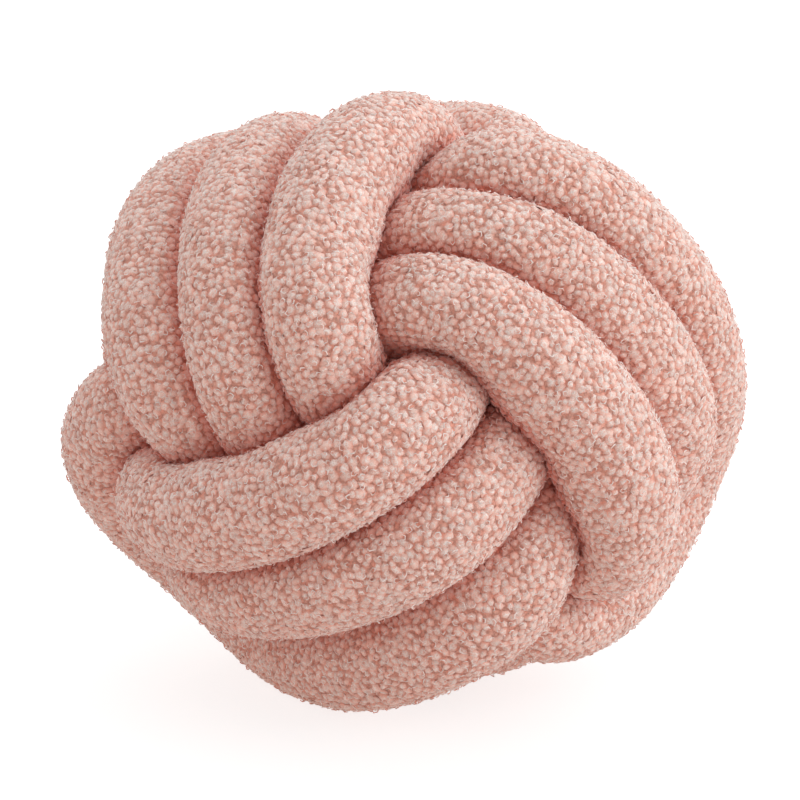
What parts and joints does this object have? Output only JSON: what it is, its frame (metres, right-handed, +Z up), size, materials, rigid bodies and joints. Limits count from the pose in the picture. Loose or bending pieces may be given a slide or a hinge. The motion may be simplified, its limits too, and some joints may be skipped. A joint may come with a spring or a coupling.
{
  "type": "knot cushion",
  "caption": "Round scatter cushion made of one long stuffed tube of curly pile cloth tied into a ball knot, with crossing bands of strands and a small flat foot.",
  "frame": {"origin": "centre of the bounding box in X and Y, on the surface that the ball stands on", "axes": "+Z up, +X to the right and +Y away as the picture shows it, which looks along +Y and 17 degrees down"},
  "size_m": [0.2996, 0.2944, 0.2631],
  "materials": {
    "pile_cloth": "matt looped curly pile"
  },
  "bodies": {
    "root": {"knot_tube": "pile_cloth"}
  },
  "joints": []
}
